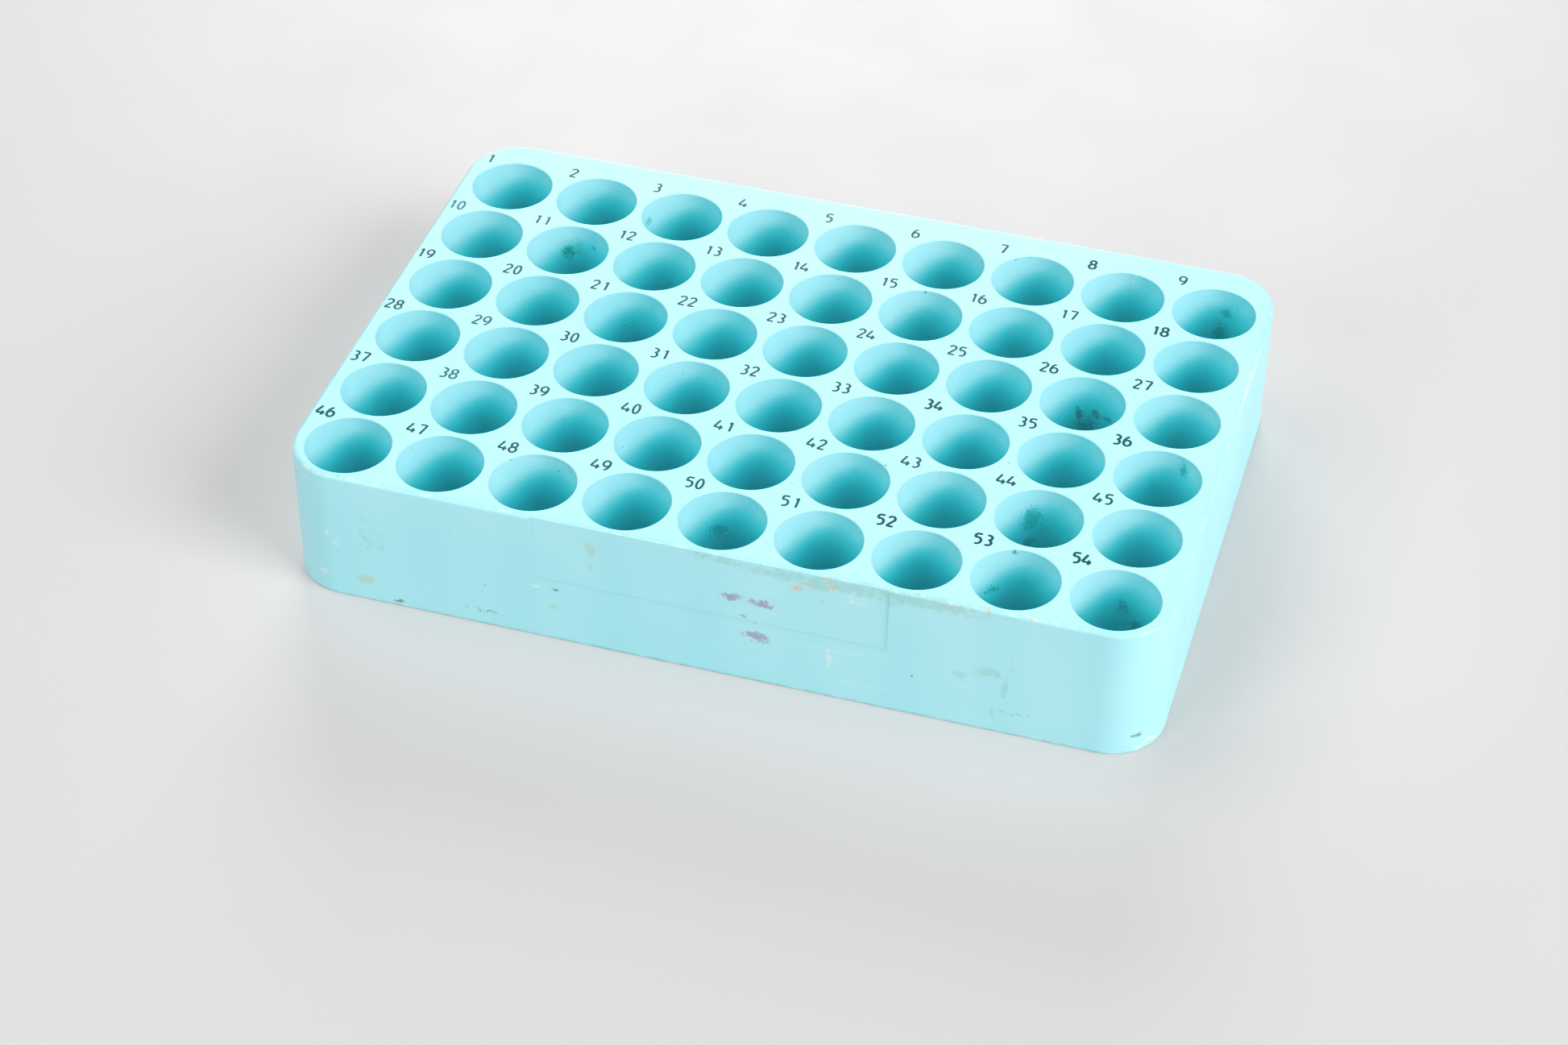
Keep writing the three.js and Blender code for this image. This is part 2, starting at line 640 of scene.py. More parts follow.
    def _speckled(self, nodes: Nodes, colour: bpy.types.NodeSocket) -> bpy.types.NodeSocket:
        """Scatter fine dark and pale specks over a colour.

        Args:
            nodes: The material's nodes.
            colour: The plastic's colour.

        Returns:
            The speckled colour.
        """
        patches = nodes.noise(70, 2)
        dark = nodes.noise(1500, 1).ramp(0.735, 0.775) * patches.ramp(0.50, 0.66)
        pale = nodes.noise(1900, 1).ramp(0.735, 0.775) * patches.ramp(0.55, 0.40)
        colour = nodes.mix(dark * 0.55, colour, self.dark_speck)
        return nodes.mix(pale * 0.5, colour, self.pale_speck)

    def _walled(self, nodes: Nodes, colour: bpy.types.NodeSocket) -> bpy.types.NodeSocket:
        """Add what the outer walls show: painted shade of sink marks in upright stripes, a chafed top
        edge, and dirt with painted contact shade along the bottom edge.

        Args:
            nodes: The material's nodes.
            colour: The plastic's colour.

        Returns:
            The walls' colour.
        """
        across, _, height = nodes.parts()
        # Painted shade: upright stripes of darker colour stand in for the shading of sink marks.
        sink_mark_shade = (across * (2 * math.pi / self.band_pitch)).wave().ramp(-0.4, 1.0)
        colour = nodes.mix(sink_mark_shade * 0.16, colour, self.sunk)
        upward = nodes.facing()[2]
        edge = upward.ramp(0.25, 0.6) * upward.ramp(0.995, 0.9)
        chafe = edge * nodes.noise(420, 4, 0.65).ramp(0.50, 0.62)
        colour = nodes.mix(chafe * 0.55, colour, self.chafed)
        # Dirt and painted contact shade: the walls darken towards their bottom edge, broken by noise.
        low = height.ramp(self.dirt_height, self.dirt_height / 3)
        dirt = low * nodes.noise(350, 4, 0.6).ramp(0.38, 0.60)
        return nodes.mix(dirt * 0.30, colour, self.dirty)

    def _wandering(self, nodes: Nodes) -> bpy.types.NodeSocket:
        """Push the object's coordinates about, so that a round blot gets a ragged outline.

        Args:
            nodes: The material's nodes.

        Returns:
            The pushed coordinates.
        """
        inputs = {"Vector": nodes.place, "Scale": 520, "Detail": 3.0, "Roughness": 0.6}
        cloud = nodes.add("ShaderNodeTexNoise", {}, inputs).outputs["Color"]
        reach = (self.ragged,) * 3
        half = (self.ragged / 2,) * 3
        pushed = nodes.vector("MULTIPLY_ADD", cloud, reach, nodes.place).outputs["Vector"]
        return nodes.vector("SUBTRACT", pushed, half).outputs["Vector"]

    @staticmethod
    def _cover(
        nodes: Nodes,
        look: GrimeLook,
        spots: Sequence[Blot],
        place: bpy.types.NodeSocket,
    ) -> Value:
        """How much of one kind of grime lies at each point.

        Args:
            nodes: The material's nodes.
            look: The kind's look.
            spots: Its blots.
            place: The coordinates that the blots are laid out in.

        Returns:
            The cover, 0 to 1.
        """
        nearest = None
        for spot in spots:
            scale = [1 / (reach * MM) for reach in spot.reach]
            shift = [-middle / reach for middle, reach in zip(spot.place, spot.reach)]
            inside = nodes.vector("MULTIPLY_ADD", place, scale, shift).outputs["Vector"]
            far = Value(nodes, nodes.vector("LENGTH", inside).outputs["Value"])
            far = far + (1.0 - spot.weight) * 0.8 if spot.weight < 1.0 else far
            nearest = far if nearest is None else nearest.below(far)
        grain = nodes.noise(look.grains_per_metre, 4, 0.62)
        body = nearest.ramp(1.25, 0.15)
        broken = (body + (grain - 0.5) * 2.4 * look.broken).ramp(0.25, 0.95)
        return broken * nearest.ramp(1.3, 0.95) * look.strength


@dataclass(frozen=True)
class Ink:
    """Dark printing ink, a little worn."""

    colour: Colour
    faded: Colour
    wear: float

    def dress(self, name: str) -> bpy.types.Material:
        """Build the material.

        Args:
            name: The material's name.

        Returns:
            The material.
        """
        nodes = Nodes(name)
        patch = nodes.noise(1100, 3, 0.6).ramp(0.42, 0.72) * self.wear
        nodes.feed(nodes.shader.inputs["Base Color"], nodes.mix(patch, self.colour, self.faded))
        nodes.feed(nodes.shader.inputs["Roughness"], 0.5 + (nodes.noise(2500, 2) - 0.5) * 0.2)
        return nodes.material


class InkTone(Enum):
    """How fresh the print of a place number is."""

    FRESH = Ink(opaque(0.030, 0.026, 0.034), opaque(0.05, 0.11, 0.13), 0.12)
    WORN = Ink(opaque(0.040, 0.042, 0.052), opaque(0.10, 0.22, 0.25), 0.22)
    FADED = Ink(opaque(0.05, 0.11, 0.13), opaque(0.18, 0.36, 0.40), 0.40)
    SMUDGED = Ink(opaque(0.06, 0.055, 0.04), opaque(0.22, 0.28, 0.23), 0.50)


@dataclass(frozen=True)
class Steel:
    """Zinc-plated screw steel, slightly dulled."""

    colour: Colour = opaque(0.55, 0.55, 0.54)
    dulled: Colour = opaque(0.30, 0.29, 0.27)

    def dress(self, name: str) -> bpy.types.Material:
        """Build the material.

        Args:
            name: The material's name.

        Returns:
            The material.
        """
        nodes = Nodes(name)
        dull = nodes.noise(900, 4, 0.6).ramp(0.45, 0.75)
        colour = nodes.mix(dull * 0.5, self.colour, self.dulled)
        nodes.feed(nodes.shader.inputs["Base Color"], colour)
        nodes.feed(nodes.shader.inputs["Roughness"], 0.28 + dull * 0.25)
        nodes.shader.inputs["Metallic"].default_value = 1.0
        return nodes.material


@dataclass(frozen=True)
class PaleTable:
    """The plain pale surface that the rack stands on. It glows a little, so its shadows stay light."""

    colour: Colour = opaque(0.500, 0.492, 0.490)
    clouded: Colour = opaque(0.470, 0.464, 0.466)
    glow_colour: Colour = opaque(1.0, 0.985, 0.98)
    glow: float = 0.14

    def dress(self, name: str) -> bpy.types.Material:
        """Build the material.

        Args:
            name: The material's name.

        Returns:
            The material.
        """
        nodes = Nodes(name)
        cloud = nodes.noise(6, 3).ramp(0.3, 0.8)
        colour = nodes.mix(cloud * 0.25, self.colour, self.clouded)
        nodes.feed(nodes.shader.inputs["Base Color"], colour)
        nodes.feed(nodes.shader.inputs["Roughness"], 0.5 + (nodes.noise(40, 3) - 0.5) * 0.2)
        nodes.shader.inputs["Emission Color"].default_value = self.glow_colour
        nodes.shader.inputs["Emission Strength"].default_value = self.glow
        return nodes.material


# ---------------------------------------------------------------- the rack


@dataclass(frozen=True)
class SocketGrid:
    """The places of the sockets. Place 1 is at the back left, and the numbers run along the rows."""

    front_edge: float
    columns: int = 9
    rows: int = 6
    column_pitch: float = 13.89 * MM
    row_pitch: float = 13.41 * MM
    radius: float = 6.2 * MM
    front_wall: float = 1.0 * MM

    @property
    def middle(self) -> float:
        """The y of the middle of the grid."""
        half = (self.rows - 1) / 2 * self.row_pitch
        return self.front_edge + self.front_wall + self.radius + half

    def centre(self, number: int) -> Vector:
        """The centre of a socket, at height 0.

        Args:
            number: The socket's place number, from 1.

        Returns:
            Its centre.
        """
        row, column = divmod(number - 1, self.columns)
        x = (column - (self.columns - 1) / 2) * self.column_pitch
        y = self.middle + ((self.rows - 1) / 2 - row) * self.row_pitch
        return Vector((x, y, 0.0))

    def numbers(self) -> range:
        """All place numbers."""
        return range(1, self.columns * self.rows + 1)


@dataclass
class RackBody:
    """The bored block."""

    low: Vector
    high: Vector
    grid: SocketGrid
    floor: float
    pilots: list[tuple[float, float]]
    pilot_radius: float = 1.5 * MM
    pilot_depth: float = 10.2 * MM
    corner_radius: float = CORNER_RADIUS
    top_radius: float = 0.7 * MM
    bottom_radius: float = 0.22 * MM
    rim: float = 0.10 * MM
    label_length: float = 52.0 * MM
    label_drop: float = 11.2 * MM
    label_depth: float = 0.17 * MM
    label_slope: float = 0.28 * MM
    past: float = 1.0 * MM

    def build(self) -> bpy.types.Object:
        """Model the block.

        Returns:
            The finished block.
        """
        block = self._blank()
        Bench.cut(block, self._label_cutter())
        Bench.cut(block, self._rebate_cutter())
        Bench.cut(block, self._socket_cutters())
        for x, y in self.pilots:
            Bench.cut(block, self._pilot_cutter(x, y))
        Bench.smooth(block)
        self._mark_depth(block)
        return block

    def _pilot_cutter(self, x: float, y: float) -> bpy.types.Object:
        """Make a drill with a pointed end, for one screw.

        Args:
            x: The x of the screw's axis.
            y: The y of the screw's axis.

        Returns:
            The drill.
        """
        bpy.ops.mesh.primitive_cylinder_add(
            vertices=24,
            radius=self.pilot_radius,
            depth=self.pilot_depth - self.floor + self.past,
            location=(x, y, (self.pilot_depth + self.floor - self.past) / 2),
        )
        drill = Bench.added("pilot_cutter")
        Bench.pick(drill, "FACE", lambda corners: all(c.z > self.pilot_depth - NEAR for c in corners))
        point = (0.0, 0.0, self.pilot_radius / 2)
        bpy.ops.mesh.extrude_region_move(TRANSFORM_OT_translate={"value": point})
        bpy.ops.mesh.merge(type="CENTER")
        bpy.ops.object.mode_set(mode="OBJECT")
        return drill

    def _mark_depth(self, block: bpy.types.Object) -> None:
        """Note how deep each point lies inside a socket, from 0 at the rim to 1 at the plate; the
        materials paint shade down the sockets by it.

        Args:
            block: The bored block.
        """
        centres = [self.grid.centre(n) for n in self.grid.numbers()]
        depth = block.data.attributes.new(SOCKET_DEPTH, "FLOAT", "POINT")
        for vertex in block.data.vertices:
            bored = any((vertex.co - c).xy.length < self.grid.radius + NEAR for c in centres)
            if bored:
                sunk = (self.high.z - vertex.co.z) / (self.high.z - self.floor)
                depth.data[vertex.index].value = sunk

    def _blank(self) -> bpy.types.Object:
        """Make the outer block with its rounded corners and edges.

        Returns:
            The block, not yet bored.
        """
        block = Bench.rounded_slab("rack_body", self.low, self.high, self.corner_radius, 20)
        level = lambda z: lambda ends: all(abs(end.z - z) < NEAR for end in ends)
        Bench.round_edges(block, level(self.high.z), self.top_radius, 7)
        Bench.round_edges(block, level(self.low.z), self.bottom_radius, 3)
        return block

    def _label_cutter(self) -> bpy.types.Object:
        """Make a shallow tray shape with sloping sides, which leaves the label recess.

        Returns:
            The cutter.
        """
        face = self.low.y
        half = self.label_length / 2
        low = Vector((-half, face - self.past, self.high.z - self.label_drop))
        high = Vector((half, face + self.label_depth, self.high.z + self.past))
        tray = Bench.cuboid("label_cutter", low, high)
        slope = self.label_slope * (1 + self.past / self.label_depth)
        for vertex in tray.data.vertices:
            if vertex.co.y < face:
                vertex.co.x += math.copysign(slope - self.label_slope, vertex.co.x)
                if vertex.co.z < self.high.z:
                    vertex.co.z -= slope - self.label_slope
            else:
                vertex.co.x -= math.copysign(self.label_slope, vertex.co.x)
                if vertex.co.z < self.high.z:
                    vertex.co.z += self.label_slope
        return tray

    def _rebate_cutter(self) -> bpy.types.Object:
        """Make the room for the base plate.

        Returns:
            The cutter.
        """
        wall = Vector((self.grid.front_wall, self.grid.front_wall, 0.0))
        low = self.low + wall - Vector((0.0, 0.0, self.past))
        high = self.high - wall
        high.z = self.floor
        radius = self.corner_radius - self.grid.front_wall
        return Bench.rounded_slab("rebate_cutter", low, high, radius, 20)

    def _socket_cutters(self) -> bpy.types.Object:
        """Make a cutter for every socket, each with a flare that breaks the rim's edge.

        Returns:
            All of them as one object.
        """
        low = self.floor - self.past
        shoulder = self.high.z - self.rim
        bpy.ops.mesh.primitive_cylinder_add(
            vertices=80,
            radius=self.grid.radius,
            depth=shoulder - low,
            location=(0.0, 0.0, (shoulder + low) / 2),
        )
        first = Bench.added("socket_cutter")
        Bench.pick(first, "FACE", lambda corners: all(abs(c.z - shoulder) < NEAR for c in corners))
        flare = self.rim + self.past
        bpy.ops.mesh.extrude_region_move(TRANSFORM_OT_translate={"value": (0.0, 0.0, flare)})
        grow = (self.grid.radius + flare) / self.grid.radius
        bpy.ops.transform.resize(value=(grow, grow, 1.0), center_override=(0.0, 0.0, shoulder + flare))
        bpy.ops.object.mode_set(mode="OBJECT")
        copies = [
            Bench.copy(first, f"socket_cutter_{n}", Matrix.Translation(self.grid.centre(n)))
            for n in self.grid.numbers()
        ]
        bpy.data.objects.remove(first)
        return Bench.join(copies, "socket_cutters")


@dataclass
class BasePlate:
    """The plate that closes the sockets from below, countersunk for its screws."""

    low: Vector
    high: Vector
    corner_radius: float
    seats: list[tuple[float, float]]
    head_radius: float = 2.64 * MM
    hole_radius: float = 1.34 * MM
    land: float = 0.4 * MM
    chamfer: float = 0.25 * MM
    past: float = 1.0 * MM

    def build(self) -> bpy.types.Object:
        """Model the plate.

        Returns:
            The finished plate.
        """
        plate = Bench.rounded_slab("screwed_plate", self.low, self.high, self.corner_radius, 20)
        bottom = lambda ends: all(abs(end.z - self.low.z) < NEAR for end in ends)
        Bench.round_edges(plate, bottom, self.chamfer, 2)
        for x, y in self.seats:
            Bench.cut(plate, self._seat_cutter(x, y))
        Bench.smooth(plate)
        return plate

    def _seat_cutter(self, x: float, y: float) -> bpy.types.Object:
        """Make a countersink and clearance hole for one screw.

        Args:
            x: The x of the screw's axis.
            y: The y of the screw's axis.

        Returns:
            The cutter.
        """
        cutter = Spindle(48).turn(
            "seat_cutter",
            [
                (self.head_radius, self.low.z - self.past),
                (self.head_radius, self.low.z + self.land),
                (self.hole_radius, self.low.z + self.land + self.head_radius - self.hole_radius),
                (self.hole_radius, self.high.z + self.past),
            ],
        )
        cutter.data.transform(Matrix.Translation((x, y, 0.0)))
        return cutter


@dataclass(frozen=True)
class Spindle:
    """Turns solids round the Z axis: a disc is extruded and scaled from one step to the next."""

    facets: int

    def turn(self, name: str, steps: Sequence[tuple[float, float]]) -> bpy.types.Object:
        """Turn a solid from its lowest step upwards.

        Args:
            name: The new object's name.
            steps: The radius and height of each step.

        Returns:
            The closed solid, round the Z axis.
        """
        radius, height = steps[0]
        bpy.ops.mesh.primitive_circle_add(
            vertices=self.facets, radius=radius, fill_type="NGON", location=(0.0, 0.0, height)
        )
        solid = Bench.added(name)
        Bench.pick(solid, "FACE", lambda corners: True)
        for wider, higher in steps[1:]:
            rise = (0.0, 0.0, higher - height)
            bpy.ops.mesh.extrude_region_move(TRANSFORM_OT_translate={"value": rise})
            grow = wider / radius
            bpy.ops.transform.resize(value=(grow, grow, 1.0), center_override=(0.0, 0.0, higher))
            radius, height = wider, higher
        bpy.ops.mesh.select_all(action="SELECT")
        bpy.ops.mesh.normals_make_consistent(inside=False)
        bpy.ops.object.mode_set(mode="OBJECT")
        return solid


@dataclass
class PlateScrew:
    """A countersunk screw, head down, with a cross recess, a thread and a point."""

    low: Vector
    high: Vector
    head_radius: float = 2.6 * MM
    core_radius: float = 1.05 * MM
    thread_radius: float = 1.3 * MM
    thread_pitch: float = 1.1 * MM
    land: float = 0.2 * MM
    recess_width: float = 0.62 * MM
    recess_length: float = 2.8 * MM
    recess_depth: float = 0.9 * MM
    head_edge: float = 0.08 * MM
    tip_radius: float = 0.12 * MM
    ring_height: float = 0.6 * MM
    crest: float = 0.1 * MM

    def build(self, name: str) -> bpy.types.Object:
        """Model the screw.

        Args:
            name: The new object's name.

        Returns:
            The finished screw.
        """
        middle = (self.low + self.high) / 2
        foot, tip = self.low.z, self.high.z
        neck = foot + self.land + self.head_radius - self.core_radius
        screw = Spindle(40).turn(
            name,
            [
                (self.head_radius - self.head_edge, foot),
                (self.head_radius, foot + self.head_edge),
                (self.head_radius, foot + self.land),
                (self.core_radius, neck),
                (self.core_radius, tip - 2 * self.core_radius),
                (self.tip_radius, tip),
            ],
        )
        Bench.cut(screw, self._thread(neck, tip), "UNION")
        for angle in (0.0, math.pi / 2):
            Bench.cut(screw, self._wing(foot, angle))
        screw.data.transform(Matrix.Translation((middle.x, middle.y, 0.0)))
        Bench.smooth(screw)
        return screw

    def _thread(self, neck: float, tip: float) -> bpy.types.Object:
        """Stack rings for the thread, narrower towards the point.

        Args:
            neck: The height at which the head ends.
            tip: The height of the screw's point.

        Returns:
            The rings as one object.
        """
        rings = []
        half, edge = self.ring_height / 2, self.crest / 2
        turns = int((tip - neck - self.ring_height) / self.thread_pitch)
        for i in range(turns):
            height = neck + (i + 0.9) * self.thread_pitch
            room = tip - height
            radius = min(self.thread_radius, self.core_radius * 0.4 + room * 0.42)
            core = min(self.core_radius * 0.9, radius * 0.7)
            steps = [
                (core, height - half),
                (radius, height - edge),
                (radius, height + edge),
                (core, height + half),
            ]
            rings.append(Spindle(40).turn("thread_ring", steps))
        return Bench.join(rings, "thread")

    def _wing(self, foot: float, angle: float) -> bpy.types.Object:
        """Make one slot of the cross recess, narrower at its bottom.

        Args:
            foot: The height of the head's face.
            angle: The slot's direction.

        Returns:
            The cutter.
        """
        half = Vector((self.recess_length / 2, self.recess_width / 2, self.recess_depth))
        wing = Bench.cuboid("wing", -half, half)
        Bench.pick(wing, "FACE", lambda corners: all(c.z > 0 for c in corners))
        bpy.ops.transform.resize(value=(0.5, 0.7, 1.0), center_override=(0.0, 0.0, 0.0))
        bpy.ops.object.mode_set(mode="OBJECT")
        wing.data.transform(Matrix.Translation((0.0, 0.0, foot)) @ Matrix.Rotation(angle, 4, "Z"))
        return wing


class Pen(Enum):
    """The two weights of the printed digits, as the width of a stroke."""

    REGULAR = 0.35 * MM
    BOLD = 0.41 * MM


@dataclass(frozen=True)
class Bow:
    """Part of an oval, drawn anticlockwise for a positive sweep, in a digit's unit box."""

    centre: tuple[float, float]
    radii: tuple[float, float]
    start: float
    sweep: float

    def points(self) -> list[tuple[float, float]]:
        """Follow the bow, with a point about every 15 degrees.

        Returns:
            The points.
        """
        steps = max(4, round(abs(self.sweep) / 15))
        angles = [math.radians(self.start + self.sweep * i / steps) for i in range(steps + 1)]
        return [
            (
                self.centre[0] + self.radii[0] * math.cos(angle),
                self.centre[1] + self.radii[1] * math.sin(angle),
            )
            for angle in angles
        ]


@dataclass
class PlaceNumbers:
    """The place numbers, drawn with a round pen in ink that stands just proud of the plastic."""

    grid: SocketGrid
    surface: float
    thickness: float
    width: float = 1.05 * MM
    height: float = 2.09 * MM
    spacing: float = 1.5 * MM
    beside_one: float = -5.78 * MM
    beside_two: float = -6.285 * MM
    above: float = 6.47 * MM
    skew: float = math.radians(0.31)
    shrink: tuple[float, float] = (0.9971, 0.9986)
    bold: tuple[int, ...] = (8, 18, 34, 36, 46, 52, 53, 54)
    fresh: tuple[int, ...] = (8, 18, 26, 27, 34, 35, 36, 44, 45, 52, 53, 54)
    faded: tuple[int, ...] = (10, 29, 38)
    smudged: tuple[int, ...] = (11,)

    def tone(self, number: int) -> InkTone:
        """Say how fresh the print of a number is.

        Args:
            number: The place number.

        Returns:
            The tone of its ink.
        """
        if number in self.smudged:
            return InkTone.SMUDGED
        if number in self.faded:
            return InkTone.FADED
        return InkTone.FRESH if number in self.fresh else InkTone.WORN

    def strokes(self, digit: int) -> list[list]:
        """The strokes of a digit: each a list of points and bows in the unit box.

        Args:
            digit: 0 to 9.

        Returns:
            The strokes.
        """
        six = [
            [Bow((0.5, 0.30), (0.48, 0.30), 180, 360)],
            [(0.02, 0.30), Bow((0.80, 0.36), (0.78, 0.64), 175, -72)],
        ]
        return {
            0: [[Bow((0.5, 0.5), (0.42, 0.5), 90, 360)]],
            1: [[(0.42, 0.78), (0.72, 1.0)], [(0.72, 1.0), (0.72, 0.0)]],
            2: [
                [Bow((0.48, 0.74), (0.44, 0.26), 165, -185), (0.04, 0.0)],
                [(0.04, 0.0), (0.98, 0.0)],
            ],
            3: [
                [Bow((0.42, 0.765), (0.44, 0.235), 125, -215)],
                [Bow((0.42, 0.265), (0.50, 0.265), 90, -215)],
            ],
            4: [
                [(0.42, 1.0), (-0.12, 0.25)],
                [(-0.12, 0.25), (1.12, 0.25)],
                [(0.76, 0.48), (0.76, 0.0)],
            ],
            5: [
                [(0.92, 1.0), (0.10, 1.0)],
                [(0.10, 1.0), (0.06, 0.60)],
                [(0.06, 0.60), Bow((0.42, 0.32), (0.52, 0.32), 95, -210)],
            ],
            6: six,
            7: [[(0.0, 1.0), (0.98, 1.0)], [(0.98, 1.0), (0.50, 0.0)]],
            8: [
                [Bow((0.5, 0.765), (0.40, 0.235), 270, 360)],
                [Bow((0.5, 0.27), (0.48, 0.27), 90, 360)],
            ],
            9: six,
        }[digit]

    def _stroke(self, parts: Sequence, pen: Pen) -> bpy.types.Object:
        """One stroke as a round tube with rounded ends, in the unit box's real size.

        Args:
            parts: Points and bows, in the unit box.
            pen: The weight.

        Returns:
            The tube.
        """
        path = []
        for part in parts:
            path += part.points() if isinstance(part, Bow) else [part]
        closed = math.dist(path[0], path[-1]) < 1e-6
        path = path[:-1] if closed else path
        bpy.ops.curve.primitive_nurbs_path_add()
        line = bpy.context.object.data
        line.splines.clear()
        spline = line.splines.new("POLY")
        spline.points.add(len(path) - 1)
        spline.use_cyclic_u = closed
        for point, (x, y) in zip(spline.points, path):
            point.co = ((x - 0.5) * self.width, (y - 0.5) * self.height, 0.0, 1.0)
        line.bevel_depth = pen.value / 2
        line.bevel_resolution = 3
        line.use_fill_caps = True
        bpy.ops.object.convert(target="MESH")
        tube = Bench.added("stroke")
        Bench.close(tube)
        if not closed:
            for end in (path[0], path[-1]):
                tip = Vector(((end[0] - 0.5) * self.width, (end[1] - 0.5) * self.height, 0.0))
                near = lambda corners: all((c - tip).length < pen.value * 0.52 for c in corners)
                Bench.pick(tube, "FACE", near)
                bpy.ops.mesh.dissolve_faces()
                bpy.ops.mesh.bevel(offset=pen.value * 0.34, segments=3, affect="EDGES")
                bpy.ops.object.mode_set(mode="OBJECT")
        return tube

    def _digit(self, digit: int, pen: Pen) -> bpy.types.Object:
        """Draw one digit as thin ink with a domed top, round the origin.

        Args:
            digit: 0 to 9.
            pen: The weight.

        Returns:
            The digit, with z = 0 at the surface that it is printed on.
        """
        tubes = [self._stroke(parts, pen) for parts in self.strokes(digit)]
        ink = tubes[0]
        for tube in tubes[1:]:
            Bench.cut(ink, tube, "UNION")
        Bench.pick(ink, "FACE", lambda corners: True)
        flat = self.thickness / (pen.value / 2)
        bpy.ops.transform.resize(value=(1.0, 1.0, flat), center_override=(0.0, 0.0, 0.0))
        bpy.ops.mesh.bisect(
            plane_co=(0.0, 0.0, -self.thickness * 0.3),
            plane_no=(0.0, 0.0, -1.0),
            use_fill=True,
            clear_outer=True,
            threshold=self.thickness / 100,
        )
        bpy.ops.object.mode_set(mode="OBJECT")
        if digit == 9:
            ink.data.transform(Matrix.Rotation(math.pi, 4, "Z"))
        Bench.smooth(ink)
        ink.name = f"digit_{digit}_{pen.name.lower()}"
        return ink

    def build(self) -> list[bpy.types.Object]:
        """Print every place number.

        Returns:
            The numbers, one object each.
        """
        masters = {(d, pen): self._digit(d, pen) for d in range(10) for pen in Pen}
        numbers = []
        for number in self.grid.numbers():
            pen = Pen.BOLD if number in self.bold else Pen.REGULAR
            digits = [int(c) for c in str(number)]
            hole = self.grid.centre(number)
            centre = Vector(
                (
                    hole.x * self.shrink[0] - hole.y * self.skew,
                    hole.y * self.shrink[1] + hole.x * self.skew + self.above,
                    self.surface,
                )
            )
            centre.x += self.beside_two if len(digits) == 2 else self.beside_one
            glyphs = [
                Bench.copy(masters[d, pen], "glyph", Matrix.Translation((i * self.spacing, 0.0, 0.0)))
                for i, d in enumerate(digits)
            ]
            piece = Bench.join(glyphs, f"place_number_{number:02d}")
            across = [vertex.co.x for vertex in piece.data.vertices]
            middle = (min(across) + max(across)) / 2
            turned = Matrix.Translation(centre) @ Matrix.Rotation(self.skew, 4, "Z")
            piece.data.transform(turned @ Matrix.Translation((-middle, 0.0, 0.0)))
            numbers.append(piece)
        for master in masters.values():
            bpy.data.objects.remove(master)
        return numbers


@dataclass
class CameraRig:
    """The camera, placed by what it looks at and from where."""

    aim: Vector
    distance: float
    azimuth: float
    elevation: float
    roll: float
    lens: float

    def build(self) -> None:
        """Add the camera and make it the scene's."""
        flat = math.cos(self.elevation)
        away = Vector(
            (
                math.sin(self.azimuth) * flat,
                -math.cos(self.azimuth) * flat,
                math.sin(self.elevation),
            )
        )
        bpy.ops.object.camera_add(location=self.aim + away * self.distance)
        camera = bpy.context.object
        camera.name = "camera"
        camera.rotation_mode = "QUATERNION"
        look = (-away).to_track_quat("-Z", "Y")
        camera.rotation_quaternion = look @ Matrix.Rotation(self.roll, 3, "Z").to_quaternion()
        camera.data.lens = self.lens
        camera.data.sensor_width = 36.0
        camera.data.clip_start = 0.01
        bpy.context.scene.camera = camera


@dataclass(frozen=True)
class SoftLight:
    """A large square soft light."""

    name: str
    azimuth: float
    elevation: float
    distance: float
    side: float
    power: float
    colour: tuple[float, float, float] = (1.0, 1.0, 1.0)

    def build(self, aim: Vector) -> None:
        """Add the light, facing a point.

        Args:
            aim: The point that it faces.
        """
        flat = math.cos(math.radians(self.elevation))
        angle = math.radians(self.azimuth)
        away = Vector(
            (math.sin(angle) * flat, -math.cos(angle) * flat, math.sin(math.radians(self.elevation)))
        )
        bpy.ops.object.light_add(type="AREA", location=aim + away * self.distance)
        light = bpy.context.object
        light.name = self.name
        light.rotation_mode = "QUATERNION"
        light.rotation_quaternion = (-away).to_track_quat("-Z", "Y")
        light.data.shape = "SQUARE"
        light.data.size = self.side
        light.data.energy = self.power
        light.data.color = self.colour


